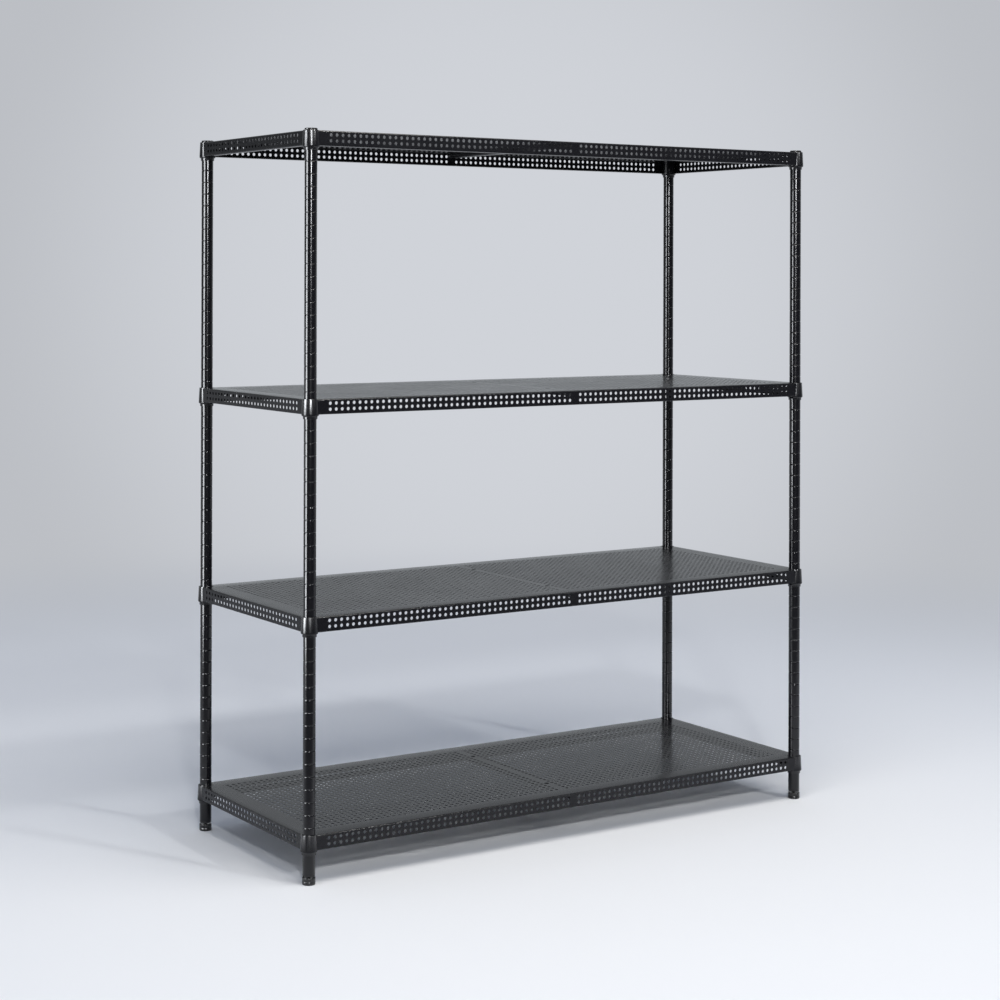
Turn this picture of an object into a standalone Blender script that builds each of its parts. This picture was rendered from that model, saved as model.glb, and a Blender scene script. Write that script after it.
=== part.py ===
"""Four-tier shelf rack: grooved round posts, split taper sleeves, pressed shelf trays with corner
collars, a channel under each deck, post caps and screw-in levelling feet. Origin on the floor
under the middle of the rack, +Z up. X runs along the shelves, -Y is the front.
Sizes are in millimetres; add_piece turns them into metres."""
import math

import bpy

MM = 0.001

# Whole rack
SPAN_X = 1286.0  # post centre to post centre, long side
SPAN_Y = 460.5  # post centre to post centre, short side
HALF_X, HALF_Y = SPAN_X / 2.0, SPAN_Y / 2.0
SEGMENTS = 16  # facets of every round piece, all in one phase
FACET_ANGLE = 2.0 * math.pi / SEGMENTS
GAP = 0.3  # running gap between separate pieces
CORNERS = {  # front/rear and left/right, as (x, y)
    "FL": (-HALF_X, -HALF_Y),
    "FR": (HALF_X, -HALF_Y),
    "RL": (-HALF_X, HALF_Y),
    "RR": (HALF_X, HALF_Y),
}

# Posts, grooved only where a sleeve grips
POST_R = 12.7
POST_INNER_R = 11.2
POST_BOTTOM_Z = 19.8
POST_TOP_Z = 1496.4
POST_CHAMFER = 0.4  # lower outside edge
GROOVE_R = 11.9
GROOVE_HALF = 1.6
GROOVE_PITCH = 25.4
GROOVE_BASE_Z = 62.6  # station 0 of the groove pitch
TIER_STATIONS = (1, 18, 35, 56)  # pitches from the base to the groove of each tier
GROOVE_ZS = [GROOVE_BASE_Z + station * GROOVE_PITCH for station in TIER_STATIONS]

# Sloping flanks of grooves and ribs, measured from their half height
FLANK_OUT = 0.4  # beyond it at the wall
FLANK_IN = 0.2  # short of it at the groove floor or rib crest

# Sleeves; heights are above the bottom of the sleeve's ring
SLEEVE_INNER_R = POST_R + GAP
SLEEVE_RING_R = 14.6
SLEEVE_RING_TAPER = 0.3  # how much narrower the ring is at its bottom
SLEEVE_RING_H = 5.0
SLEEVE_CONE_BOTTOM_R = 15.65
SLEEVE_CONE_BOTTOM_H = 6.5
SLEEVE_TOP_R = 14.1
SLEEVE_TOP_H = 40.2
RIB_R = 12.3
RIB_H = 29.0
RIB_HALF = 1.2
SLIT = 0.4  # width of the slit between the two halves
TIER_ZS = [z - RIB_H for z in GROOVE_ZS]  # ring bottoms, origins of sleeves and shelves

# Shelves; heights are above the ring bottom
DECK_H = 39.5  # top of the deck
SKIRT_BOTTOM_H = 9.0
SHEET = 1.2
SKIRT_OFFSET = 14.0  # skirt face outside the post centre line
SKIRT_INSIDE = SKIRT_OFFSET - SHEET
HEM_LONG = 15.0  # hem edge inside the face of the long skirts
HEM_SHORT = 12.0  # the same on the short skirts
OPENING_OVERCUT = 5.0  # cutter past the hem, below and above
COLLAR_BOTTOM_H = 6.2
COLLAR_TOP_H = 39.9
COLLAR_R = 17.6  # widest, just above the chamfer
COLLAR_TOP_R = 16.2
COLLAR_CHAMFER = (1.0, 2.4)  # width, height
COLLAR_CLEAR = 0.35  # radial play around the sleeve cone
BORE_OVERCUT = 2.0  # cutter past the collar, below and above

# Braces
BRACE_FLANGE = 10.0
BRACE_WEB = 20.0
BRACE_DEPTH = 11.0
BRACE_END_GAP = 0.4  # to the inside of the long skirts

# Caps
PLUG_R = POST_INNER_R - GAP
CAP_TOP_Z = 1500.0
CAP_FLANGE_Z = POST_TOP_Z + GAP
CAP_R = 13.0
CAP_CHAMFER = 0.9
CAP_BORE_R = 9.4
CAP_THICKNESS = 1.8  # over the bore
CAP_H = 16.0  # top to the lower end of the plug

# Levelling feet
INSERT_BOTTOM_Z = 17.5
INSERT_TOP_Z = 45.0
INSERT_FLANGE_R = 12.5
INSERT_FLANGE_Z = POST_BOTTOM_Z - GAP  # top of the flange
INSERT_CHAMFER = 0.8
STUD_R = 3.85
STUD_TOP_Z = 42.0
STUD_CHAMFER = 1.0
THREAD_BORE_R = STUD_R + GAP
FOOT_R = 13.25
FOOT_H = 14.5
FOOT_CHAMFER = 1.2
FOOT_FLOOR = 2.2  # solid thickness under the stud
FOOT_SOLE = ((1.6, 0.0), (0.4, 0.6), (0.0, 1.8))  # lower edge: inset from FOOT_R, height

# Finishes: keyword arguments of add_material
PLASTIC = (0.018, 0.018, 0.019)
CHARCOAL = (0.03, 0.03, 0.033)
POST_FINISH = dict(colour=(0.012, 0.012, 0.013), roughness=0.22, coat=0.5)
SLEEVE_FINISH = dict(colour=PLASTIC, roughness=0.4)
CAP_FINISH = dict(colour=PLASTIC, roughness=0.35)
INSERT_FINISH = dict(colour=PLASTIC, roughness=0.45)
STUD_FINISH = dict(colour=(0.055, 0.055, 0.06), roughness=0.3, metallic=1.0)
FOOT_FINISH = dict(colour=PLASTIC, roughness=0.35)
SHELF_FINISH = dict(colour=CHARCOAL, roughness=0.38, coat=0.2)
BRACE_FINISH = dict(colour=CHARCOAL, roughness=0.45)

# Edges sharper than this many degrees stay crisp
SHARP_ANGLE = 30.0
FINE_SHARP_ANGLE = 25.0  # posts and sleeves


def clear_scene():
    for obj in list(bpy.data.objects):
        bpy.data.objects.remove(obj, do_unlink=True)
    for mesh in list(bpy.data.meshes):
        bpy.data.meshes.remove(mesh)
    for material in list(bpy.data.materials):
        bpy.data.materials.remove(material)


def add_material(name, colour, roughness, metallic=0.0, coat=0.0):
    material = bpy.data.materials.new(name)
    material.use_nodes = True
    shader = next(n for n in material.node_tree.nodes if n.type == "BSDF_PRINCIPLED")
    shader.inputs["Base Color"].default_value = (*colour, 1.0)
    shader.inputs["Roughness"].default_value = roughness
    shader.inputs["Metallic"].default_value = metallic
    shader.inputs["Coat Weight"].default_value = coat
    material.diffuse_color = (*colour, 1.0)
    return material


def shade(mesh, angle):
    mesh.shade_smooth()
    mesh.set_sharp_from_angle(angle=math.radians(angle))


def add_piece(name, shape, origin, finish=None, sharp_angle=None):
    """An object from (verts, faces) about `origin`, with a material of its own name.
    It is flat shaded unless a sharp angle is given."""
    verts, faces = shape
    mesh = bpy.data.meshes.new(name)
    mesh.from_pydata([(x * MM, y * MM, z * MM) for x, y, z in verts], [], faces)
    mesh.validate()
    obj = bpy.data.objects.new(name, mesh)
    obj.location = [value * MM for value in origin]
    bpy.context.scene.collection.objects.link(obj)
    if finish is not None:
        mesh.materials.append(add_material(name, **finish))
    if sharp_angle is not None:
        shade(mesh, sharp_angle)
    return obj


def apply_boolean(target, tools, operation):
    """Combine the tools with the target in turn, then remove them."""
    for tool in tools:
        modifier = target.modifiers.new("cut", "BOOLEAN")
        modifier.operation = operation
        modifier.solver = "EXACT"
        modifier.object = tool
    bpy.context.view_layer.update()
    graph = bpy.context.evaluated_depsgraph_get()
    result = bpy.data.meshes.new_from_object(target.evaluated_get(graph))
    target.modifiers.clear()
    old_mesh = target.data
    target.data = result
    bpy.data.meshes.remove(old_mesh)
    for tool in tools:
        bpy.data.objects.remove(tool, do_unlink=True)


# Shapes: each returns (verts, faces)
def ring_points(r, z):
    return [
        (r * math.cos(FACET_ANGLE * i), r * math.sin(FACET_ANGLE * i), z)
        for i in range(SEGMENTS)
    ]


def band(lower, upper, count):
    """Quads between two closed loops of `count` points, given their first indices."""
    faces = []
    for i in range(count):
        j = (i + 1) % count
        faces.append((lower + i, lower + j, upper + j, upper + i))
    return faces


def lathe_ring(profile):
    """A closed (r, z) outline turned about Z, listed so that the outside runs upwards."""
    verts, faces = [], []
    for i, (r, z) in enumerate(profile):
        verts += ring_points(r, z)
        following = (i + 1) % len(profile)
        faces += band(i * SEGMENTS, following * SEGMENTS, SEGMENTS)
    return verts, faces


def lathe_solid(profile):
    """An (r, z) outline from axis to axis turned about Z, listed with the outside upwards."""
    verts = [(0.0, 0.0, profile[0][1])]
    for r, z in profile[1:-1]:
        verts += ring_points(r, z)
    verts.append((0.0, 0.0, profile[-1][1]))
    top = len(verts) - 1
    last_ring = top - SEGMENTS

    faces = [(0, 1 + (i + 1) % SEGMENTS, 1 + i) for i in range(SEGMENTS)]
    for start in range(1, last_ring, SEGMENTS):
        faces += band(start, start + SEGMENTS, SEGMENTS)
    for i in range(SEGMENTS):
        faces.append((last_ring + i, last_ring + (i + 1) % SEGMENTS, top))
    return verts, faces


def lathe_half(profile, side):
    """The half of a turned closed outline on one side of y = 0 (side 1 is +Y, -1 is -Y),
    its flat ends set back from that plane by half the slit."""
    half = SEGMENTS // 2
    verts, faces = [], []
    for r, z in profile:
        row = [(x, y) for x, y, _ in ring_points(r, z)[: half + 1]]
        # slide the end points along their facets until they are half a slit from the plane
        fraction = (SLIT / 2.0) / (r * math.sin(FACET_ANGLE))
        (x0, y0), (x1, y1) = row[:2]
        row[0] = (x0 + fraction * (x1 - x0), y0 + fraction * (y1 - y0))
        row[-1] = (-row[0][0], row[0][1])
        verts += [(side * x, side * y, z) for x, y in row]
    width, rows = half + 1, len(profile)
    for j in range(rows):
        lower, upper = j * width, (j + 1) % rows * width
        for i in range(half):
            faces.append((lower + i, lower + i + 1, upper + i + 1, upper + i))
    faces.append(tuple(j * width for j in range(rows)))
    faces.append(tuple(j * width + half for j in range(rows - 1, -1, -1)))
    return verts, faces


def extrusion(start, end):
    """A solid between two matching loops, counter-clockwise as seen from the end side."""
    count = len(start)
    caps = [tuple(range(count - 1, -1, -1)), tuple(range(count, 2 * count))]
    return start + end, caps + band(0, count, count)


def prism(outline, bottom, top):
    return extrusion([(x, y, bottom) for x, y in outline], [(x, y, top) for x, y in outline])


# Posts, caps and feet
def post_profile():
    profile = [
        (POST_INNER_R, POST_BOTTOM_Z),
        (POST_R - POST_CHAMFER, POST_BOTTOM_Z),
        (POST_R, POST_BOTTOM_Z + POST_CHAMFER),
    ]
    for z in GROOVE_ZS:
        profile += [
            (POST_R, z - GROOVE_HALF - FLANK_OUT),
            (GROOVE_R, z - GROOVE_HALF + FLANK_IN),
            (GROOVE_R, z + GROOVE_HALF - FLANK_IN),
            (POST_R, z + GROOVE_HALF + FLANK_OUT),
        ]
    return profile + [(POST_R, POST_TOP_Z), (POST_INNER_R, POST_TOP_Z)]


# Flanged plug, hollow from below
CAP_PROFILE = [
    (0.0, CAP_TOP_Z - CAP_THICKNESS),
    (CAP_BORE_R, CAP_TOP_Z - CAP_THICKNESS),
    (CAP_BORE_R, CAP_TOP_Z - CAP_H),
    (PLUG_R, CAP_TOP_Z - CAP_H),
    (PLUG_R, CAP_FLANGE_Z),
    (CAP_R, CAP_FLANGE_Z),
    (CAP_R, CAP_TOP_Z - CAP_CHAMFER),
    (CAP_R - CAP_CHAMFER, CAP_TOP_Z),
    (0.0, CAP_TOP_Z),
]

INSERT_PROFILE = [
    (THREAD_BORE_R, INSERT_BOTTOM_Z),
    (INSERT_FLANGE_R - INSERT_CHAMFER, INSERT_BOTTOM_Z),
    (INSERT_FLANGE_R, INSERT_BOTTOM_Z + INSERT_CHAMFER),
    (INSERT_FLANGE_R, INSERT_FLANGE_Z),
    (PLUG_R, INSERT_FLANGE_Z),
    (PLUG_R, INSERT_TOP_Z),
    (THREAD_BORE_R, INSERT_TOP_Z),
]

STUD_PROFILE = [
    (0.0, FOOT_FLOOR + GAP),
    (STUD_R, FOOT_FLOOR + GAP),
    (STUD_R, STUD_TOP_Z - STUD_CHAMFER),
    (STUD_R - STUD_CHAMFER, STUD_TOP_Z),
    (0.0, STUD_TOP_Z),
]

# Puck with a blind bore from above
FOOT_PROFILE = [
    (0.0, 0.0),
    *[(FOOT_R - inset, z) for inset, z in FOOT_SOLE],
    (FOOT_R, FOOT_H - FOOT_CHAMFER),
    (FOOT_R - FOOT_CHAMFER, FOOT_H),
    (THREAD_BORE_R, FOOT_H),
    (THREAD_BORE_R, FOOT_FLOOR),
    (0.0, FOOT_FLOOR),
]


def build_post(tag, x, y):
    """A post with its cap and the three pieces of its foot."""
    pieces = (
        ("post_", lathe_ring(post_profile()), POST_FINISH, FINE_SHARP_ANGLE),
        ("cap_", lathe_solid(CAP_PROFILE), CAP_FINISH, SHARP_ANGLE),
        ("foot_insert_", lathe_ring(INSERT_PROFILE), INSERT_FINISH, SHARP_ANGLE),
        ("foot_stud_", lathe_solid(STUD_PROFILE), STUD_FINISH, SHARP_ANGLE),
        ("foot_base_", lathe_solid(FOOT_PROFILE), FOOT_FINISH, SHARP_ANGLE),
    )
    for prefix, shape, finish, sharp_angle in pieces:
        add_piece(prefix + tag, shape, (x, y, 0.0), finish, sharp_angle)


# Sleeves
SLEEVE_PROFILE = [
    (SLEEVE_INNER_R, 0.0),
    (SLEEVE_RING_R - SLEEVE_RING_TAPER, 0.0),
    (SLEEVE_RING_R, SLEEVE_RING_H),
    (SLEEVE_CONE_BOTTOM_R, SLEEVE_CONE_BOTTOM_H),
    (SLEEVE_TOP_R, SLEEVE_TOP_H),
    (SLEEVE_INNER_R, SLEEVE_TOP_H),
    (SLEEVE_INNER_R, RIB_H + RIB_HALF + FLANK_OUT),
    (RIB_R, RIB_H + RIB_HALF - FLANK_IN),
    (RIB_R, RIB_H - RIB_HALF + FLANK_IN),
    (SLEEVE_INNER_R, RIB_H - RIB_HALF - FLANK_OUT),
]


def build_sleeves(tier, tier_z):
    """A rear (a) and a front (b) half on each post."""
    for tag, (x, y) in CORNERS.items():
        for letter, side in (("a", 1), ("b", -1)):
            name = f"sleeve_{tier}_{tag}_{letter}"
            shape = lathe_half(SLEEVE_PROFILE, side)
            add_piece(name, shape, (x, y, tier_z), SLEEVE_FINISH, FINE_SHARP_ANGLE)


# Shelves
def tray_outline(offset):
    """An octagon `offset` outside the post centre lines, its corners cut off along them."""
    half_x, half_y = HALF_X + offset, HALF_Y + offset
    return [
        (HALF_X, -half_y),
        (half_x, -HALF_Y),
        (half_x, HALF_Y),
        (HALF_X, half_y),
        (-HALF_X, half_y),
        (-half_x, HALF_Y),
        (-half_x, -HALF_Y),
        (-HALF_X, -half_y),
    ]


def opening_outline():
    """The rectangle left open between the hems."""
    half_x = HALF_X + SKIRT_OFFSET - HEM_SHORT
    half_y = HALF_Y + SKIRT_OFFSET - HEM_LONG
    return [(-half_x, -half_y), (half_x, -half_y), (half_x, half_y), (-half_x, half_y)]


def collar_shape():
    inset, rise = COLLAR_CHAMFER
    return lathe_solid(
        [
            (0.0, COLLAR_BOTTOM_H),
            (COLLAR_R - inset, COLLAR_BOTTOM_H),
            (COLLAR_R, COLLAR_BOTTOM_H + rise),
            (COLLAR_TOP_R, COLLAR_TOP_H),
            (0.0, COLLAR_TOP_H),
        ]
    )


def bore_radius(height):
    """Radius of the sleeve cone, carried on past its ends, plus the collar's play."""
    fraction = (height - SLEEVE_CONE_BOTTOM_H) / (SLEEVE_TOP_H - SLEEVE_CONE_BOTTOM_H)
    cone_r = SLEEVE_CONE_BOTTOM_R + fraction * (SLEEVE_TOP_R - SLEEVE_CONE_BOTTOM_R)
    return cone_r + COLLAR_CLEAR


def bore_shape():
    low, high = COLLAR_BOTTOM_H - BORE_OVERCUT, COLLAR_TOP_H + BORE_OVERCUT
    return lathe_solid([(0.0, low), (bore_radius(low), low), (bore_radius(high), high), (0.0, high)])


def build_shelf(tier, tier_z):
    """A tray with skirts and hems, and a tapered collar at each corner."""
    name = f"shelf_{tier}"
    origin = (0.0, 0.0, tier_z)
    block = prism(tray_outline(SKIRT_OFFSET), SKIRT_BOTTOM_H, DECK_H)
    tray = add_piece(name, block, origin, SHELF_FINISH)

    cavity = prism(tray_outline(SKIRT_INSIDE), SKIRT_BOTTOM_H + SHEET, DECK_H - SHEET)
    opening = prism(
        opening_outline(),
        SKIRT_BOTTOM_H - OPENING_OVERCUT,
        SKIRT_BOTTOM_H + SHEET + OPENING_OVERCUT,
    )
    cutters = [add_piece("hollow", cavity, origin), add_piece("opening", opening, origin)]
    apply_boolean(tray, cutters, "DIFFERENCE")

    corners = CORNERS.values()
    collars = [add_piece("collar", collar_shape(), (x, y, tier_z)) for x, y in corners]
    bores = [add_piece("bore", bore_shape(), (x, y, tier_z)) for x, y in corners]
    apply_boolean(tray, collars, "UNION")
    apply_boolean(tray, bores, "DIFFERENCE")

    # drop any empty material slots the booleans added
    while len(tray.data.materials) > 1:
        tray.data.materials.pop()
    tray.data.name = name
    shade(tray.data, SHARP_ANGLE)


def build_brace(tier, tier_z):
    """A flanged channel under the middle of the deck, open side up, running front to back."""
    top = DECK_H - SHEET - GAP
    bottom = top - BRACE_DEPTH
    web = BRACE_WEB / 2.0
    edge = web + BRACE_FLANGE
    section = [  # (x, z)
        (-edge, top - SHEET),
        (-web, top - SHEET),
        (-web, bottom),
        (web, bottom),
        (web, top - SHEET),
        (edge, top - SHEET),
        (edge, top),
        (web - SHEET, top),
        (web - SHEET, bottom + SHEET),
        (-web + SHEET, bottom + SHEET),
        (-web + SHEET, top),
        (-edge, top),
    ]
    reach = HALF_Y + SKIRT_INSIDE - BRACE_END_GAP
    shape = extrusion([(x, reach, z) for x, z in section], [(x, -reach, z) for x, z in section])
    add_piece(f"brace_{tier}", shape, (0.0, 0.0, tier_z), BRACE_FINISH)


clear_scene()
for tag, (x, y) in CORNERS.items():
    build_post(tag, x, y)
for tier, tier_z in enumerate(TIER_ZS, start=1):
    build_sleeves(tier, tier_z)
    build_shelf(tier, tier_z)
    build_brace(tier, tier_z)
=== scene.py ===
"""Looks for the four-tier perforated shelf rack: fine geometry, finishes, light and camera."""
import math

import bpy
from mathutils import Matrix, Vector


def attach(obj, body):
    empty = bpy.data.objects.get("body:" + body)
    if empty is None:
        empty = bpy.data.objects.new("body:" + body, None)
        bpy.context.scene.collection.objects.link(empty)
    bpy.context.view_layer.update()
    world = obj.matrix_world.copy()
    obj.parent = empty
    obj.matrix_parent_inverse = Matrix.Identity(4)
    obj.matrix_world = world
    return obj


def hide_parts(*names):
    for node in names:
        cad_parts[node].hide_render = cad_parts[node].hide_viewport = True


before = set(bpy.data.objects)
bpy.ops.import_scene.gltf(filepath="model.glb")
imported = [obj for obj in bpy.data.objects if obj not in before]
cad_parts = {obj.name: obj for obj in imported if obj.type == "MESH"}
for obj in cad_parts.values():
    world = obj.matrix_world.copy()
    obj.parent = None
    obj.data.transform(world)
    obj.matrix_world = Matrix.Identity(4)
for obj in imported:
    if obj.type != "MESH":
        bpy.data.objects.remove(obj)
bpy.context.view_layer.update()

MM = 0.001
SCENE = bpy.context.scene

# sizes in millimetres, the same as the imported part
SPAN_X = 1286.0
SPAN_Y = 460.5
HX, HY = SPAN_X / 2.0, SPAN_Y / 2.0
CORNERS = {"FL": (-1, -1), "FR": (1, -1), "RL": (-1, 1), "RR": (1, 1)}
RING_Z = (59.0, 490.8, 922.6, 1456.0)

DECK_H = 39.5
SKIRT_LOW = 9.0
SHEET = 1.0  # the CAD sheet is 1.2 so that its solids stay sound; this is nearer the real gauge
OFFSET = 14.0
HEM_LONG = 15.0
HEM_SHORT = 12.0
BEND_TOP = 2.5
BEND_LOW = 2.2

HOLE_PITCH = SPAN_X / 93.55
HOLES_X = 44  # hole columns either side of the middle strip
HOLES_Y = 15  # hole rows either side of the long middle line
SHORT_HOLES = 15
DECK_HOLE_R = 3.55
SKIRT_HOLE_R = 3.45
SKIRT_ROWS = (8.5, 20.5)  # below the deck top
ROW_HALF = 6.0


def lin(c):
    c = c / 255.0
    return c / 12.92 if c <= 0.04045 else ((c + 0.055) / 1.055) ** 2.4


def rgb(r, g, b):
    return (lin(r), lin(g), lin(b), 1.0)


# ---------------------------------------------------------------- mesh helper
class Shell:
    """Collects points in millimetres and faces, and makes one mesh of them."""

    def __init__(self):
        self.verts = []
        self.faces = []

    def add(self, verts, faces):
        base = len(self.verts)
        self.verts.extend(verts)
        self.faces.extend(tuple(base + i for i in f) for f in faces)

    def mesh(self, name, sharp=33.0, weld=0.02):
        made = bpy.data.meshes.new(name)
        made.from_pydata([(x * MM, y * MM, z * MM) for x, y, z in self.verts], [], self.faces)
        if weld:
            import bmesh

            bm = bmesh.new()
            bm.from_mesh(made)
            bmesh.ops.remove_doubles(bm, verts=bm.verts, dist=weld * MM)
            bm.to_mesh(made)
            bm.free()
        made.validate()
        made.shade_smooth()
        made.set_sharp_from_angle(angle=math.radians(sharp))
        return made


def place(name, mesh, at, body, nodes, paint):
    obj = bpy.data.objects.new(name, mesh)
    obj.location = (at[0] * MM, at[1] * MM, at[2] * MM)
    SCENE.collection.objects.link(obj)
    if not mesh.materials:
        mesh.materials.append(paint)
    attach(obj, body)
    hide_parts(*nodes)
    return obj


def turned(profile, segments, closed=True, start=0.0, sweep=2.0 * math.pi):
    """A profile of (r, z) turned about Z; points at r 0 become poles."""
    verts, faces = [], []
    full = abs(sweep - 2.0 * math.pi) < 1e-9
    cols = segments if full else segments + 1
    rows = []
    for r, z in profile:
        if r < 1e-9:
            rows.append([len(verts)])
            verts.append((0.0, 0.0, z))
        else:
            row = []
            for i in range(cols):
                a = start + sweep * i / segments
                row.append(len(verts))
                verts.append((r * math.cos(a), r * math.sin(a), z))
            rows.append(row)
    m = len(profile)
    for j in range(m if closed else m - 1):
        a, b = rows[j], rows[(j + 1) % m]
        if len(a) == 1 and len(b) == 1:
            continue
        for i in range(segments):
            ii = (i + 1) % cols if full else i + 1
            if len(a) == 1:
                faces.append((a[0], b[ii], b[i]))
            elif len(b) == 1:
                faces.append((a[i], a[ii], b[0]))
            else:
                faces.append((a[i], a[ii], b[ii], b[i]))
    if closed and not full:
        faces.append(tuple(row[0] for row in rows))
        faces.append(tuple(row[-1] for row in reversed(rows)))
    return verts, faces


def arc(cx, cy, r, a0, a1, steps):
    """Points on an arc from angle a0 to a1 in degrees, both ends included."""
    out = []
    for i in range(steps + 1):
        a = math.radians(a0 + (a1 - a0) * i / steps)
        out.append((cx + r * math.cos(a), cy + r * math.sin(a)))
    return out


# ---------------------------------------------------------------- finishes
def nodes_of(name):
    made = bpy.data.materials.new(name)
    made.use_nodes = True
    tree = made.node_tree
    shader = next(n for n in tree.nodes if n.type == "BSDF_PRINCIPLED")
    return made, tree, shader


def noise(tree, coords, scale, detail=2.0, rough=0.5):
    n = tree.nodes.new("ShaderNodeTexNoise")
    n.inputs["Scale"].default_value = scale
    n.inputs["Detail"].default_value = detail
    n.inputs["Roughness"].default_value = rough
    tree.links.new(coords, n.inputs["Vector"])
    return n.outputs["Fac"]


def ramp(tree, value, low, high, to_low, to_high):
    n = tree.nodes.new("ShaderNodeMapRange")
    n.inputs["From Min"].default_value = low
    n.inputs["From Max"].default_value = high
    n.inputs["To Min"].default_value = to_low
    n.inputs["To Max"].default_value = to_high
    tree.links.new(value, n.inputs["Value"])
    return n.outputs["Result"]


def mix_colour(tree, factor, a, b):
    n = tree.nodes.new("ShaderNodeMix")
    n.data_type = "RGBA"
    tree.links.new(factor, n.inputs["Factor"])
    n.inputs["A"].default_value = a
    n.inputs["B"].default_value = b
    return n.outputs["Result"]


def bump(tree, shader, heights):
    """Chained bumps from (height output, strength, distance in metres)."""
    last = None
    for height, strength, distance in heights:
        n = tree.nodes.new("ShaderNodeBump")
        n.inputs["Strength"].default_value = strength
        n.inputs["Distance"].default_value = distance
        tree.links.new(height, n.inputs["Height"])
        if last is not None:
            tree.links.new(last, n.inputs["Normal"])
        last = n.outputs["Normal"]
    tree.links.new(last, shader.inputs["Normal"])


def powder(name, dark, light, rough_low, rough_high, coat, peel, edge_wear_and_highlight_level, coat_rough=0.12, specular=0.5):
    """Powder coat: orange peel, a fine sparkle of roughness, and a lighter grey on convex edges that is partly thinner
    film and partly a painted highlight along the bends.
    """
    made, tree, shader = nodes_of(name)
    co = tree.nodes.new("ShaderNodeTexCoord").outputs["Object"]
    fine = noise(tree, co, 1900.0, 2.0, 0.6)
    peel_h = noise(tree, co, 520.0, 3.0, 0.55)
    cloud = noise(tree, co, 9.0, 4.0, 0.6)
    colour = mix_colour(tree, ramp(tree, cloud, 0.3, 0.7, 0.0, 1.0), dark, light)
    # lighter grey on convex edges: partly thinner film, partly a painted highlight along the pressed bends
    geo = tree.nodes.new("ShaderNodeNewGeometry").outputs["Pointiness"]
    edge_wear_and_highlight = ramp(tree, geo, 0.53, 0.62, 0.0, edge_wear_and_highlight_level)
    bend = tree.nodes.new("ShaderNodeAttribute")
    bend.attribute_name = "bend"
    tree.links.new(ramp(tree, bend.outputs["Fac"], 0.0, 1.0, specular, 1.0), shader.inputs["Specular IOR Level"])
    n = tree.nodes.new("ShaderNodeMix")
    n.data_type = "RGBA"
    tree.links.new(edge_wear_and_highlight, n.inputs["Factor"])
    tree.links.new(colour, n.inputs["A"])
    n.inputs["B"].default_value = (0.09, 0.09, 0.095, 1.0)
    tree.links.new(n.outputs["Result"], shader.inputs["Base Color"])
    add = tree.nodes.new("ShaderNodeMath")
    add.operation = "ADD"
    tree.links.new(ramp(tree, fine, 0.3, 0.7, rough_low, rough_high), add.inputs[0])
    tree.links.new(ramp(tree, cloud, 0.3, 0.7, -0.025, 0.025), add.inputs[1])
    tree.links.new(add.outputs["Value"], shader.inputs["Roughness"])
    shader.inputs["Coat Weight"].default_value = coat
    shader.inputs["Coat Roughness"].default_value = coat_rough
    shader.inputs["IOR"].default_value = 1.5
    bump(tree, shader, [(peel_h, peel, 0.00008), (fine, peel * 0.8, 0.00003)])
    return made


def moulded(name, dark, light, rough_low, rough_high, grain):
    """Moulded black plastic with a fine mould grain and slight flow marks."""
    made, tree, shader = nodes_of(name)
    co = tree.nodes.new("ShaderNodeTexCoord").outputs["Object"]
    fine = noise(tree, co, 2600.0, 2.0, 0.6)
    flow = noise(tree, co, 60.0, 3.0, 0.5)
    colour = mix_colour(tree, ramp(tree, flow, 0.3, 0.7, 0.0, 1.0), dark, light)
    tree.links.new(colour, shader.inputs["Base Color"])
    tree.links.new(ramp(tree, flow, 0.3, 0.7, rough_low, rough_high), shader.inputs["Roughness"])
    shader.inputs["IOR"].default_value = 1.49
    bump(tree, shader, [(fine, grain, 0.00004)])
    return made


def plated(name, dark, light):
    """Dark zinc plate with turning marks round the thread and a little mottling."""
    made, tree, shader = nodes_of(name)
    co = tree.nodes.new("ShaderNodeTexCoord").outputs["Object"]
    fine = noise(tree, co, 1500.0, 2.0, 0.6)
    mottle = noise(tree, co, 300.0, 3.0, 0.6)
    tree.links.new(mix_colour(tree, mottle, dark, light), shader.inputs["Base Color"])
    tree.links.new(ramp(tree, mottle, 0.3, 0.7, 0.24, 0.4), shader.inputs["Roughness"])
    shader.inputs["Metallic"].default_value = 1.0
    bump(tree, shader, [(fine, 0.25, 0.00003)])
    return made


# the seventh argument is the strength of the lighter edge grey: partly thinner film, partly a painted highlight
POST_PAINT = powder("post_powder", (0.0042, 0.0041, 0.0058, 1), (0.0058, 0.0056, 0.0074, 1), 0.16, 0.19, 0.12, 0.006, 0.05, 0.10, 0.38)
SHELF_PAINT = powder("shelf_powder", (0.0050, 0.0050, 0.0068, 1), (0.0070, 0.0070, 0.0090, 1), 0.25, 0.31, 0.12, 0.12, 0.16, 0.11, 0.22)
SLEEVE_PLASTIC = moulded("sleeve_plastic", (0.009, 0.009, 0.011, 1), (0.013, 0.013, 0.015, 1), 0.17, 0.24, 0.18)
CAP_PLASTIC = moulded("cap_plastic", (0.011, 0.011, 0.012, 1), (0.016, 0.016, 0.017, 1), 0.22, 0.30, 0.2)
INSERT_PLASTIC = moulded("insert_plastic", (0.011, 0.011, 0.012, 1), (0.016, 0.016, 0.017, 1), 0.34, 0.44, 0.3)
FOOT_PLASTIC = moulded("foot_plastic", (0.011, 0.011, 0.012, 1), (0.016, 0.016, 0.017, 1), 0.24, 0.32, 0.2)
STUD_METAL = plated("stud_zinc", (0.035, 0.035, 0.038, 1), (0.075, 0.075, 0.08, 1))


# ---------------------------------------------------------------- perforated sheet
HOLE_SIDES = 12


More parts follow.
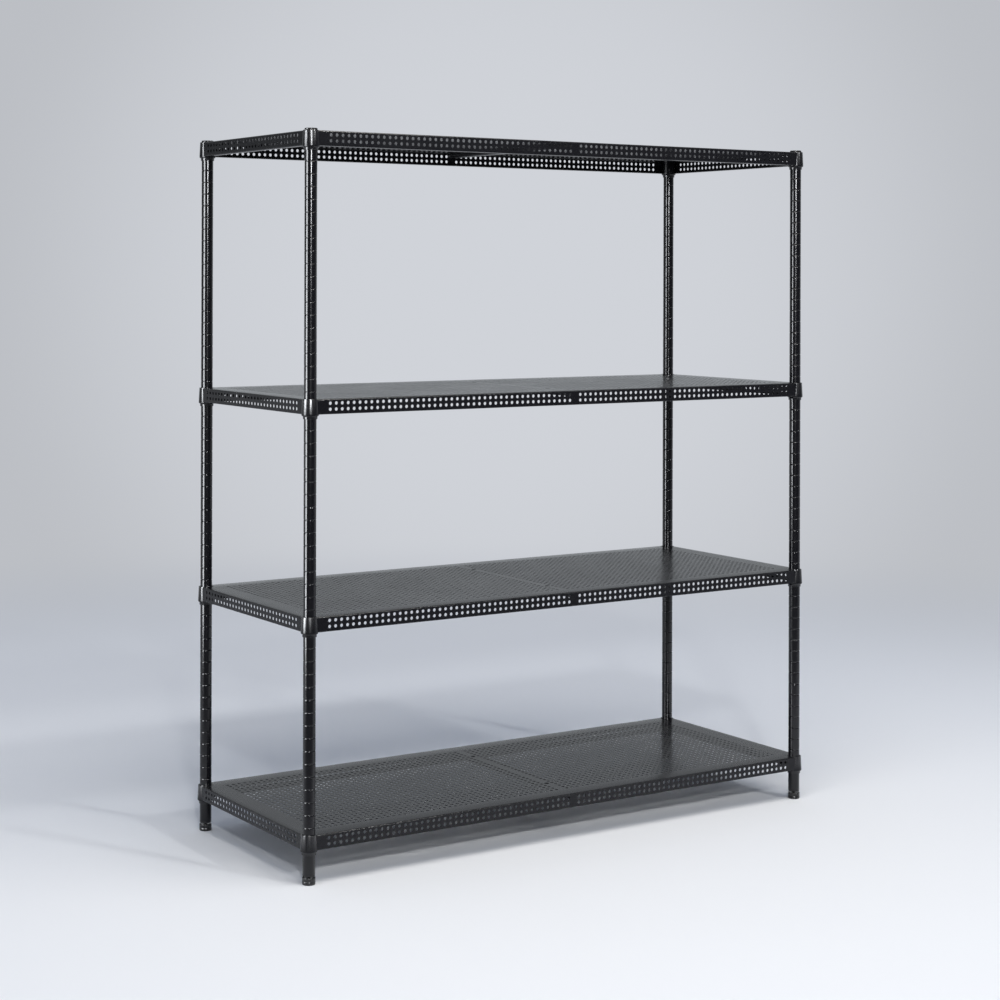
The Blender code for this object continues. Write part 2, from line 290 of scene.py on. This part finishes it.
def perforated(shell, frame_of, us, vs, half_u, half_v, radius, t):
    """Square-cornered cells, one hole each. frame_of(u, v, d) gives the point at depth d below the face."""
    ring = [(radius * math.cos(math.radians(45 + 30 * i)), radius * math.sin(math.radians(45 + 30 * i))) for i in range(HOLE_SIDES)]
    corners = [(1, 1), (-1, 1), (-1, -1), (1, -1)]
    for u in us:
        for v in vs:
            pts = []
            for d in (0.0, t):
                for cu, cv in corners:
                    pts.append(frame_of(u + cu * half_u, v + cv * half_v, d))
                for hu, hv in ring:
                    pts.append(frame_of(u + hu, v + hv, d))
            faces = []
            step = 4 + HOLE_SIDES
            for s in range(4):
                c0, c1 = s, (s + 1) % 4
                h = [4 + (3 * s + k) % HOLE_SIDES for k in range(4)]
                faces.append((c0, c1, h[3], h[2], h[1], h[0]))
                faces.append(tuple(step + i for i in (h[0], h[1], h[2], h[3], c1, c0)))
            for k in range(HOLE_SIDES):
                a, b = 4 + k, 4 + (k + 1) % HOLE_SIDES
                faces.append((a, b, step + b, step + a))
            shell.add(pts, faces)


def plate(shell, frame_of, u0, u1, v0, v1, t):
    """A plain rectangle of sheet, both faces, no edge walls."""
    if u1 - u0 < 1e-6 or v1 - v0 < 1e-6:
        return
    pts = []
    for d in (0.0, t):
        pts += [frame_of(u1, v1, d), frame_of(u0, v1, d), frame_of(u0, v0, d), frame_of(u1, v0, d)]
    shell.add(pts, [(0, 1, 2, 3), (7, 6, 5, 4)])


def shelf_mesh():
    shell = Shell()
    p = HOLE_PITCH
    top = DECK_H

    def deck(u, v, d):
        return (u, v, top - d)

    # deck: cells, middle strip, borders
    flat_x = HX + OFFSET - BEND_TOP
    flat_y = HY + OFFSET - BEND_TOP
    cols = [s * k * p for s in (-1, 1) for k in range(1, HOLES_X + 1)]
    rows = [s * (j - 0.5) * p for s in (-1, 1) for j in range(1, HOLES_Y + 1)]
    perforated(shell, deck, cols, rows, p / 2.0, p / 2.0, DECK_HOLE_R, SHEET)
    gx, gy = (HOLES_X + 0.5) * p, HOLES_Y * p
    # middle strip with two larger holes
    big, half = 5.4, p / 2.0
    centre = 10.5 * p
    for s in (-1, 1):
        perforated(shell, deck, [0.0], [s * centre], half, half, big, SHEET)
    plate(shell, deck, -half, half, -centre + half, centre - half, SHEET)
    plate(shell, deck, -half, half, centre + half, gy, SHEET)
    plate(shell, deck, -half, half, -gy, -centre - half, SHEET)
    # borders: front and back between the post centre lines, ends between the post centre lines
    for s in (-1, 1):
        lo, hi = sorted((s * gy, s * flat_y))
        plate(shell, deck, -HX, HX, lo, hi, SHEET)
        lo, hi = sorted((s * gx, s * HX))
        plate(shell, deck, lo, hi, -gy, gy, SHEET)
        lo, hi = sorted((s * HX, s * flat_x))
        plate(shell, deck, lo, hi, -HY, HY, SHEET)

    # skirts with their bends and hems; n is the distance outside the post centre line
    face_hi = top - BEND_TOP
    face_lo = SKIRT_LOW + BEND_LOW
    row_zs = [top - r for r in SKIRT_ROWS]
    cell_hi = row_zs[0] + ROW_HALF
    cell_lo = row_zs[-1] - ROW_HALF

    outer_top = arc(OFFSET - BEND_TOP, top - BEND_TOP, BEND_TOP, 90, 0, 5)
    inner_top = arc(OFFSET - BEND_TOP, top - BEND_TOP, BEND_TOP - SHEET, 90, 0, 5)
    outer_low = arc(OFFSET - BEND_LOW, SKIRT_LOW + BEND_LOW, BEND_LOW, 0, -90, 5)
    inner_low = arc(OFFSET - BEND_LOW, SKIRT_LOW + BEND_LOW, BEND_LOW - SHEET, 0, -90, 5)

    def side(place_at, half_len, holes, hem):
        """place_at(u, n, z) puts a side point; u runs along the side."""

        def strip(path):
            pts, faces = [], []
            for n, z in path:
                pts += [place_at(-half_len, n, z), place_at(half_len, n, z)]
            for i in range(len(path) - 1):
                a = 2 * i
                faces.append((a, a + 1, a + 3, a + 2))
            return pts, faces

        pts, faces = strip(outer_top)
        shell.add(pts, [tuple(reversed(f)) for f in faces])
        pts, faces = strip(inner_top)
        shell.add(pts, faces)
        hem_end = OFFSET - hem
        pts, faces = strip(outer_low + [(hem_end, SKIRT_LOW)])
        shell.add(pts, [tuple(reversed(f)) for f in faces])
        pts, faces = strip(inner_low + [(hem_end, SKIRT_LOW + SHEET)])
        shell.add(pts, faces)
        pts, faces = strip([(hem_end, SKIRT_LOW), (hem_end, SKIRT_LOW + SHEET)])
        shell.add(pts, [tuple(reversed(f)) for f in faces])

        def face(u, v, d):
            return place_at(u, OFFSET - d, v)

        perforated(shell, face, holes, row_zs, p / 2.0, ROW_HALF, SKIRT_HOLE_R, SHEET)
        ends = max(holes) + p / 2.0
        plate(shell, face, ends, half_len, face_lo, face_hi, SHEET)
        plate(shell, face, -half_len, -ends, face_lo, face_hi, SHEET)
        plate(shell, face, -ends, ends, face_lo, cell_lo, SHEET)
        plate(shell, face, -ends, ends, cell_hi, face_hi, SHEET)
        gap = min(abs(h) for h in holes) - p / 2.0
        if gap > 0.01:
            plate(shell, face, -gap, gap, cell_lo, cell_hi, SHEET)

    long_holes = [s * k * p for s in (-1, 1) for k in range(1, HOLES_X + 1)]
    short_holes = [s * (k - 0.5) * p for s in (-1, 1) for k in range(1, SHORT_HOLES + 1)]
    side(lambda u, n, z: (u, -(HY + n), z), HX, long_holes, HEM_LONG)
    side(lambda u, n, z: (-u, HY + n, z), HX, long_holes, HEM_LONG)
    side(lambda u, n, z: (HX + n, u, z), HY, short_holes, HEM_SHORT)
    side(lambda u, n, z: (-(HX + n), -u, z), HY, short_holes, HEM_SHORT)

    # corner collars
    lip = 0.55
    for sx, sy in CORNERS.values():
        r0, r1 = 17.6, 16.2
        top_h, low_h = 39.9, 6.2
        in_top, in_low = 14.1 + 0.4, 15.65 + 0.36
        profile = [(in_low, low_h + 0.5), (in_low + 0.4, low_h)]
        profile += [(r0 - 1.0, low_h), (r0 - 0.6, low_h + 0.5), (r0 - 0.15, low_h + 1.6), (r0, low_h + 2.4), (r0 - 0.04, low_h + 3.4)]
        profile += [(r1, top_h - lip)] + arc(r1 - lip, top_h - lip, lip, 22, 90, 3) + [(in_top + 0.25, top_h), (in_top, top_h - 0.4)]
        verts, faces = turned(profile, 64)
        verts = [(x + sx * HX, y + sy * HY, z) for x, y, z in verts]
        shell.add(verts, faces)
    made = shell.mesh("shelf_skin")
    # the pressed bends and collar rims have the smoothest, glossiest film
    gloss = made.attributes.new("bend", "FLOAT", "POINT")
    for vert in made.vertices:
        x, y, z = (c / MM for c in vert.co)
        outside = max(abs(x) - HX, abs(y) - HY) - (OFFSET - BEND_TOP)
        gloss.data[vert.index].value = 1.0 if outside > 0.1 and z > top - BEND_TOP + 0.3 else 0.0
    return made


SHELF = shelf_mesh()


def brace_mesh():
    """Hat channel with rounded bends, front to back under the middle strip."""
    t, r = SHEET, 1.6
    top = DECK_H - SHEET - 0.3
    w, f, d = 10.0, 10.0, 11.0
    right = [(w + f, top)]
    right += [(x, z) for x, z in arc(w + 0.4, top - r, r, 90, 180, 4)]
    outer = right + [(x, z) for x, z in arc(w - t - (r - t), top - d + r, r - 0.2, 0, -90, 4)]
    path = [(w + f, top - t / 2), (w + 0.9, top - t / 2), (w + 0.1, top - t / 2 - 0.35), (w - t / 2, top - t / 2 - 1.0)]
    path += [(w - t / 2, top - d + 1.6), (w - t / 2 - 0.35, top - d + 0.95), (w - 1.6, top - d + t / 2)]
    path = path + [(-x, z) for x, z in reversed(path)]
    # offset the centre line both ways
    left_side, right_side = [], []
    for i, (x, z) in enumerate(path):
        x0, z0 = path[max(i - 1, 0)]
        x1, z1 = path[min(i + 1, len(path) - 1)]
        dx, dz = x1 - x0, z1 - z0
        length = math.hypot(dx, dz)
        nx, nz = -dz / length, dx / length
        left_side.append((x + nx * t / 2 * 0.98, z + nz * t / 2 * 0.98))
        right_side.append((x - nx * t / 2 * 0.98, z - nz * t / 2 * 0.98))
    section = left_side + list(reversed(right_side))
    reach = HY + OFFSET - SHEET - 0.4
    n = len(section)
    shell = Shell()
    verts = [(x, -reach, z) for x, z in section] + [(x, reach, z) for x, z in section]
    faces = [tuple(reversed(range(n))), tuple(range(n, 2 * n))]
    for i in range(n):
        ii = (i + 1) % n
        faces.append((i, ii, n + ii, n + i))
    shell.add(verts, faces)
    made = shell.mesh("brace_skin", 40.0, 0.0)
    return made


BRACE = brace_mesh()
SHELF.materials.append(SHELF_PAINT)
BRACE.materials.append(SHELF_PAINT)
for tier, ring in enumerate(RING_Z, start=1):
    place("shelf_%d_skin" % tier, SHELF, (0, 0, ring), "shelf_%d_body" % tier, ["shelf_%d" % tier], SHELF_PAINT)
    place("brace_%d_skin" % tier, BRACE, (0, 0, ring), "shelf_%d_body" % tier, ["brace_%d" % tier], SHELF_PAINT)


# ---------------------------------------------------------------- posts
def post_mesh():
    r, inner = 12.7, 11.2
    low, high = 19.8, 1496.4
    profile = [(inner, low + 0.3), (inner + 0.3, low), (r - 0.5, low), (r - 0.15, low + 0.15), (r, low + 0.5)]
    z = 62.6
    while z < 1486.0:
        profile += [
            (r, z - 1.9),
            (r, z - 1.35),
            (r - 0.08, z - 1.1),
            (r - 0.42, z - 0.62),
            (r - 0.6, z - 0.25),
            (r - 0.6, z + 0.25),
            (r - 0.42, z + 0.62),
            (r - 0.08, z + 1.1),
            (r, z + 1.35),
            (r, z + 1.9),
        ]
        z += 25.4
    profile += [(r, high - 0.4), (r - 0.3, high), (inner, high)]
    shell = Shell()
    shell.add(*turned(profile, 48))
    return shell.mesh("post_skin", 50.0, 0.0)


POST = post_mesh()
POST.materials.append(POST_PAINT)


def cap_mesh():
    top, flange, r, plug = 1500.0, 1496.7, 13.0, 10.9
    profile = [(0.0, top - 2.0), (9.4, top - 2.0), (9.4, top - 16.0), (plug - 0.5, top - 16.0), (plug, top - 15.4), (plug, flange)]
    profile += [(r - 0.3, flange), (r, flange + 0.3)]
    profile += arc(r - 1.5, top - 1.55, 1.5, 0, 84, 6) + [(8.0, top - 0.02), (4.0, top), (0.0, top)]
    shell = Shell()
    shell.add(*turned(profile, 48, closed=False))
    return shell.mesh("cap_skin", 50.0, 0.0)


CAP = cap_mesh()
CAP.materials.append(CAP_PLASTIC)


def insert_mesh():
    profile = [(4.15, 17.8), (4.45, 17.5), (12.0, 17.5), (12.4, 17.65), (12.5, 18.0), (12.5, 19.5), (10.9, 19.5)]
    z = 21.5
    while z < 43.0:
        profile += [(10.9, z), (11.12, z + 0.5), (10.9, z + 1.2)]
        z += 3.0
    profile += [(10.9, 44.2), (10.1, 45.0), (4.15, 45.0)]
    shell = Shell()
    shell.add(*turned(profile, 40))
    return shell.mesh("insert_skin", 40.0, 0.0)


INSERT = insert_mesh()
INSERT.materials.append(INSERT_PLASTIC)


def stud_mesh():
    """M8 by 1.25 stud with a real helical thread."""
    major, minor, pitch = 3.85, 3.2, 1.25
    low, high = 2.5, 42.0
    around, per = 24, 6
    shape = [0.0, 0.15, 1.0, 1.0, 0.15, 0.0]
    rows = int((high - low - 1.6) / pitch * per)
    verts, faces = [], []
    for j in range(rows + 1):
        for i in range(around):
            a = 2 * math.pi * i / around
            z = low + 0.2 + j * pitch / per
            phase = ((z - low) / pitch - i / around) % 1.0
            h = max(0.0, 1.0 - abs(phase - 0.5) / 0.42)
            h = min(1.0, h * 1.25)
            fade = min(1.0, (z - low) / 1.0, max(0.0, (high - 0.8 - z) / 1.2))
            r = minor + (major - minor) * h * max(fade, 0.0)
            verts.append((r * math.cos(a), r * math.sin(a), z))
    for j in range(rows):
        for i in range(around):
            ii = (i + 1) % around
            faces.append((j * around + i, j * around + ii, (j + 1) * around + ii, (j + 1) * around + i))
    base = len(verts)
    verts += [(0.0, 0.0, low), (0.0, 0.0, high)]
    ring = []
    for z, r in ((low, 2.9), (high, 2.6)):
        ring.append(len(verts))
        verts += [(r * math.cos(2 * math.pi * i / around), r * math.sin(2 * math.pi * i / around), z) for i in range(around)]
    for i in range(around):
        ii = (i + 1) % around
        faces.append((base, ring[0] + ii, ring[0] + i))
        faces.append((ring[0] + i, ring[0] + ii, ii, i))
        faces.append((base + 1, ring[1] + i, ring[1] + ii))
        faces.append((rows * around + i, rows * around + ii, ring[1] + ii, ring[1] + i))
    shell = Shell()
    shell.add(verts, faces)
    return shell.mesh("stud_skin", 60.0, 0.0)


STUD = stud_mesh()
STUD.materials.append(STUD_METAL)


def foot_mesh():
    r, h = 13.25, 14.5
    profile = [(0.0, 0.3), (9.0, 0.3), (9.6, 0.0), (r - 1.7, 0.0)]
    profile += arc(r - 1.4, 1.4, 1.4, -80, 0, 5)
    profile += [(r, 6.2), (r - 0.25, 6.6), (r - 0.25, 7.0), (r, 7.4)]
    profile += arc(r - 1.3, h - 1.3, 1.3, 0, 90, 5)
    profile += [(8.0, h), (7.4, h - 0.35), (4.6, h - 0.35), (4.15, h - 0.8), (4.15, 2.2), (0.0, 2.2)]
    shell = Shell()
    shell.add(*turned(profile, 48, closed=False))
    return shell.mesh("foot_skin", 40.0, 0.0)


FOOT = foot_mesh()
FOOT.materials.append(FOOT_PLASTIC)

for tag, (sx, sy) in CORNERS.items():
    at = (sx * HX, sy * HY, 0.0)
    place("post_%s_skin" % tag, POST, at, "frame", ["post_" + tag], POST_PAINT)
    place("cap_%s_skin" % tag, CAP, at, "frame", ["cap_" + tag], CAP_PLASTIC)
    place("foot_insert_%s_skin" % tag, INSERT, at, "frame", ["foot_insert_" + tag], INSERT_PLASTIC)
    place("foot_stud_%s_skin" % tag, STUD, at, "foot_%s_screw_body" % tag, ["foot_stud_" + tag], STUD_METAL)
    place("foot_base_%s_skin" % tag, FOOT, at, "foot_%s_base_body" % tag, ["foot_base_" + tag], FOOT_PLASTIC)


# ---------------------------------------------------------------- split sleeves
def sleeve_mesh(side):
    gap = 0.2
    inner, rib = 13.0, 12.3
    profile = [(inner, 0.3), (inner + 0.3, 0.0), (14.2, 0.0), (14.45, 0.3)]
    profile += [(14.6, 4.7), (14.75, 5.1), (15.45, 6.2), (15.65, 6.5), (15.6, 7.4)]
    profile += [(14.12, 39.8), (13.9, 40.2), (inner + 0.2, 40.2), (inner, 39.9)]
    profile += [(inner, 30.6), (rib + 0.1, 30.0), (rib, 29.4), (rib, 28.6), (rib + 0.1, 28.0), (inner, 27.4)]
    segments = 26
    verts, faces = [], []
    rows = []
    for r, z in profile:
        a0 = math.asin(gap / r)
        row = []
        for i in range(segments + 1):
            a = a0 + (math.pi - 2 * a0) * i / segments
            row.append(len(verts))
            verts.append((side * r * math.cos(a), side * r * math.sin(a), z))
        rows.append(row)
    m = len(profile)
    for j in range(m):
        a, b = rows[j], rows[(j + 1) % m]
        for i in range(segments):
            faces.append((a[i], a[i + 1], b[i + 1], b[i]))
    faces.append(tuple(row[0] for row in rows))
    faces.append(tuple(row[-1] for row in reversed(rows)))
    shell = Shell()
    shell.add(verts, faces)
    return shell.mesh("sleeve_skin_%s" % ("a" if side > 0 else "b"), 35.0, 0.0)


SLEEVES = {"a": sleeve_mesh(1), "b": sleeve_mesh(-1)}
for m in SLEEVES.values():
    m.materials.append(SLEEVE_PLASTIC)
for tier, ring in enumerate(RING_Z, start=1):
    for tag, (sx, sy) in CORNERS.items():
        for letter, m in SLEEVES.items():
            node = "sleeve_%d_%s_%s" % (tier, tag, letter)
            place(node + "_skin", m, (sx * HX, sy * HY, ring), "frame", [node], SLEEVE_PLASTIC)


# ---------------------------------------------------------------- floor, world, light
BACK = rgb(208, 211, 217)
FRONT_DIM = 0.85
FILL = 0.43
BRIGHTEST = (0.568, 0.823, 0.0)  # the middle of the lit backdrop


def backdrop_level(tree, direction, sign):
    """Brightness of the backdrop, falling off away from its middle."""
    dot = tree.nodes.new("ShaderNodeVectorMath")
    dot.operation = "DOT_PRODUCT"
    dot.inputs[1].default_value = tuple(sign * c for c in BRIGHTEST)
    tree.links.new(direction, dot.inputs[0])
    level = tree.nodes.new("ShaderNodeMapRange")
    level.interpolation_type = "SMOOTHSTEP"
    level.inputs["From Min"].default_value = 0.965
    level.inputs["From Max"].default_value = 1.0
    level.inputs["To Min"].default_value = 0.80
    level.inputs["To Max"].default_value = 1.0
    tree.links.new(dot.outputs["Value"], level.inputs["Value"])
    return level.outputs["Result"]


def floor():
    made = bpy.data.meshes.new("floor")
    s = 40.0
    made.from_pydata([(-s, -s, 0), (s, -s, 0), (s, s, 0), (-s, s, 0)], [], [(0, 1, 2, 3)])
    obj = bpy.data.objects.new("floor", made)
    SCENE.collection.objects.link(obj)
    paint = bpy.data.materials.new("floor_paint")
    paint.use_nodes = True
    tree = paint.node_tree
    tree.nodes.clear()
    out = tree.nodes.new("ShaderNodeOutputMaterial")
    diffuse = tree.nodes.new("ShaderNodeBsdfDiffuse")
    diffuse.inputs["Color"].default_value = (0.86, 0.865, 0.875, 1)
    glow = tree.nodes.new("ShaderNodeEmission")
    geo = tree.nodes.new("ShaderNodeNewGeometry")
    glow.inputs["Color"].default_value = BACK
    tree.links.new(backdrop_level(tree, geo.outputs["Incoming"], -1.0), glow.inputs["Strength"])
    length = tree.nodes.new("ShaderNodeVectorMath")
    length.operation = "LENGTH"
    tree.links.new(geo.outputs["Position"], length.inputs[0])
    fade = tree.nodes.new("ShaderNodeMapRange")
    fade.interpolation_type = "SMOOTHERSTEP"
    fade.inputs["From Min"].default_value = 1.2
    fade.inputs["From Max"].default_value = 5.0
    tree.links.new(length.outputs["Value"], fade.inputs["Value"])
    mixed = tree.nodes.new("ShaderNodeMixShader")
    tree.links.new(fade.outputs["Result"], mixed.inputs["Fac"])
    tree.links.new(diffuse.outputs["BSDF"], mixed.inputs[1])
    tree.links.new(glow.outputs["Emission"], mixed.inputs[2])
    # painted reflection: in glossy rays the floor in front of the rack turns to a dim glow, so the rack mirrors it like
    # the unlit room behind a viewer
    depth = tree.nodes.new("ShaderNodeVectorMath")
    depth.operation = "DOT_PRODUCT"
    depth.inputs[1].default_value = (0.526, 0.850, 0.0)
    tree.links.new(geo.outputs["Position"], depth.inputs[0])
    near = tree.nodes.new("ShaderNodeMapRange")
    near.interpolation_type = "SMOOTHSTEP"
    near.inputs["From Min"].default_value = -0.45
    near.inputs["From Max"].default_value = -1.5
    near.inputs["To Max"].default_value = FRONT_DIM
    tree.links.new(depth.outputs["Value"], near.inputs["Value"])
    ray = tree.nodes.new("ShaderNodeLightPath")
    dim = tree.nodes.new("ShaderNodeMath")
    dim.operation = "MULTIPLY"
    tree.links.new(near.outputs["Result"], dim.inputs[0])
    tree.links.new(ray.outputs["Is Glossy Ray"], dim.inputs[1])
    dark = tree.nodes.new("ShaderNodeEmission")
    dark.inputs["Color"].default_value = (0.02, 0.02, 0.022, 1)
    shown = tree.nodes.new("ShaderNodeMixShader")
    tree.links.new(dim.outputs["Value"], shown.inputs["Fac"])
    tree.links.new(mixed.outputs["Shader"], shown.inputs[1])
    tree.links.new(dark.outputs["Emission"], shown.inputs[2])
    tree.links.new(shown.outputs["Shader"], out.inputs["Surface"])
    made.materials.append(paint)
    return obj


floor()

world = bpy.data.worlds.new("studio")
SCENE.world = world
world.use_nodes = True
wt = world.node_tree
wt.nodes.clear()
w_out = wt.nodes.new("ShaderNodeOutputWorld")
seen = wt.nodes.new("ShaderNodeBackground")
seen.inputs["Color"].default_value = BACK
lit = wt.nodes.new("ShaderNodeBackground")
coord = wt.nodes.new("ShaderNodeTexCoord")
wt.links.new(backdrop_level(wt, coord.outputs["Generated"], 1.0), seen.inputs["Strength"])
# what surfaces mirror: bright behind the rack, dim in front of it
dot = wt.nodes.new("ShaderNodeVectorMath")
dot.operation = "DOT_PRODUCT"
dot.inputs[1].default_value = (0.66, 0.75, -0.10)
wt.links.new(coord.outputs["Generated"], dot.inputs[0])
level = wt.nodes.new("ShaderNodeMapRange")
level.interpolation_type = "SMOOTHSTEP"
level.inputs["From Min"].default_value = 0.15
level.inputs["From Max"].default_value = 0.95
level.inputs["To Min"].default_value = 0.05
level.inputs["To Max"].default_value = 0.50
wt.links.new(dot.outputs["Value"], level.inputs["Value"])
# the foot of the backdrop is brighter than the part above it
parts = wt.nodes.new("ShaderNodeSeparateXYZ")
wt.links.new(coord.outputs["Generated"], parts.inputs["Vector"])
rise = wt.nodes.new("ShaderNodeMapRange")
rise.interpolation_type = "SMOOTHSTEP"
rise.inputs["From Min"].default_value = 0.03
rise.inputs["From Max"].default_value = 0.14
rise.inputs["To Min"].default_value = 2.0
rise.inputs["To Max"].default_value = 0.97
wt.links.new(parts.outputs["Z"], rise.inputs["Value"])
both = wt.nodes.new("ShaderNodeMath")
both.operation = "MULTIPLY"
wt.links.new(level.outputs["Result"], both.inputs[0])
wt.links.new(rise.outputs["Result"], both.inputs[1])
wt.links.new(both.outputs["Value"], lit.inputs["Strength"])
lit.inputs["Color"].default_value = (0.90, 0.95, 1.0, 1)
path = wt.nodes.new("ShaderNodeLightPath")
fill = wt.nodes.new("ShaderNodeBackground")
fill.inputs["Color"].default_value = (0.78, 0.87, 1.05, 1)
fill.inputs["Strength"].default_value = FILL
soft = wt.nodes.new("ShaderNodeMixShader")
wt.links.new(path.outputs["Is Diffuse Ray"], soft.inputs["Fac"])
wt.links.new(lit.outputs["Background"], soft.inputs[1])
wt.links.new(fill.outputs["Background"], soft.inputs[2])
mix = wt.nodes.new("ShaderNodeMixShader")
wt.links.new(path.outputs["Is Camera Ray"], mix.inputs["Fac"])
wt.links.new(soft.outputs["Shader"], mix.inputs[1])
wt.links.new(seen.outputs["Background"], mix.inputs[2])
wt.links.new(mix.outputs["Shader"], w_out.inputs["Surface"])


def area(name, at, look, size_x, size_y, watts, colour=(1, 1, 1), gloss_only=False):
    data = bpy.data.lights.new(name, "AREA")
    data.shape = "RECTANGLE"
    data.size = size_x
    data.size_y = size_y
    data.energy = watts
    data.color = colour
    obj = bpy.data.objects.new(name, data)
    obj.location = at
    direction = Vector(look) - Vector(at)
    obj.rotation_euler = direction.to_track_quat("-Z", "Y").to_euler()
    obj.visible_camera = False
    if gloss_only:
        obj.visible_diffuse = False
    SCENE.collection.objects.link(obj)
    return obj


# a soft light overhead and two small hard lights high in front; then a tall softbox at the left
# and a raised panel behind the viewer, both only mirrored
area("overhead", (-0.25, -1.15, 3.5), (0.0, 0.0, 0.2), 2.5, 1.5, 66, (1.0, 0.965, 0.905))
area("key_left", (-3.55, -6.54, 4.2), (0.0, 0.0, 0.3), 0.5, 0.5, 160, (0.96, 0.98, 1.0))
area("key_right", (2.63, -6.54, 4.2), (0.0, 0.0, 0.3), 0.5, 0.5, 130, (0.97, 0.985, 1.0))
area("softbox_left", (-2.3, 0.14, 1.04), (0.0, 0.0, 1.0), 0.78, 1.8, 84, (0.93, 0.96, 1.0), gloss_only=True)
area("panel_front", (-2.9, -6.2, 2.25), (-0.4, 0.0, 0.9), 0.95, 1.3, 300, (0.95, 0.97, 1.0), gloss_only=True)

# ---------------------------------------------------------------- camera
YAW = 0.554448
ROLL = 0.0030504
FOCAL_PX = 2025.706
CENTRE_PX = (400.109, 275.534)
CAM_AT = Vector((-2.60753, -3.73990, 1.2078))
forward = Vector((math.sin(YAW), math.cos(YAW), 0.0))
right = Vector((math.cos(YAW), -math.sin(YAW), 0.0))
up = Vector((0.0, 0.0, 1.0))
r2 = right * math.cos(ROLL) + up * math.sin(ROLL)
u2 = up * math.cos(ROLL) - right * math.sin(ROLL)
cam_data = bpy.data.cameras.new("camera")
cam = bpy.data.objects.new("camera", cam_data)
SCENE.collection.objects.link(cam)
cam_data.sensor_fit = "HORIZONTAL"
cam_data.sensor_width = 36.0
cam_data.lens = FOCAL_PX * 36.0 / 1000.0
cam_data.clip_start = 0.05
cam_data.clip_end = 200.0
turn = Matrix((
    (r2.x, u2.x, -forward.x, CAM_AT.x),
    (r2.y, u2.y, -forward.y, CAM_AT.y),
    (r2.z, u2.z, -forward.z, CAM_AT.z),
    (0.0, 0.0, 0.0, 1.0),
))
cam.matrix_world = turn
SCENE.camera = cam

# the picture is an off-centre crop, so the lens is shifted, but only while the camera stands there
for prop, amount in (("shift_x", (500.0 - CENTRE_PX[0]) / 1000.0), ("shift_y", (CENTRE_PX[1] - 500.0) / 1000.0)):
    drive = cam_data.driver_add(prop).driver
    drive.type = "SCRIPTED"
    for axis, label in (("LOC_X", "x"), ("LOC_Y", "y"), ("LOC_Z", "z")):
        var = drive.variables.new()
        var.name = label
        var.type = "TRANSFORMS"
        var.targets[0].id = cam
        var.targets[0].transform_type = axis
        var.targets[0].transform_space = "WORLD_SPACE"
    drive.expression = "%.6f if abs(x - %.6f) + abs(y - %.6f) + abs(z - %.6f) < 0.002 else 0.0" % (
        amount, CAM_AT.x, CAM_AT.y, CAM_AT.z)

SCENE.view_settings.view_transform = "Standard"
SCENE.view_settings.look = "None"
SCENE.view_settings.exposure = 0.0
SCENE.view_settings.gamma = 1.0

bpy.context.view_layer.update()
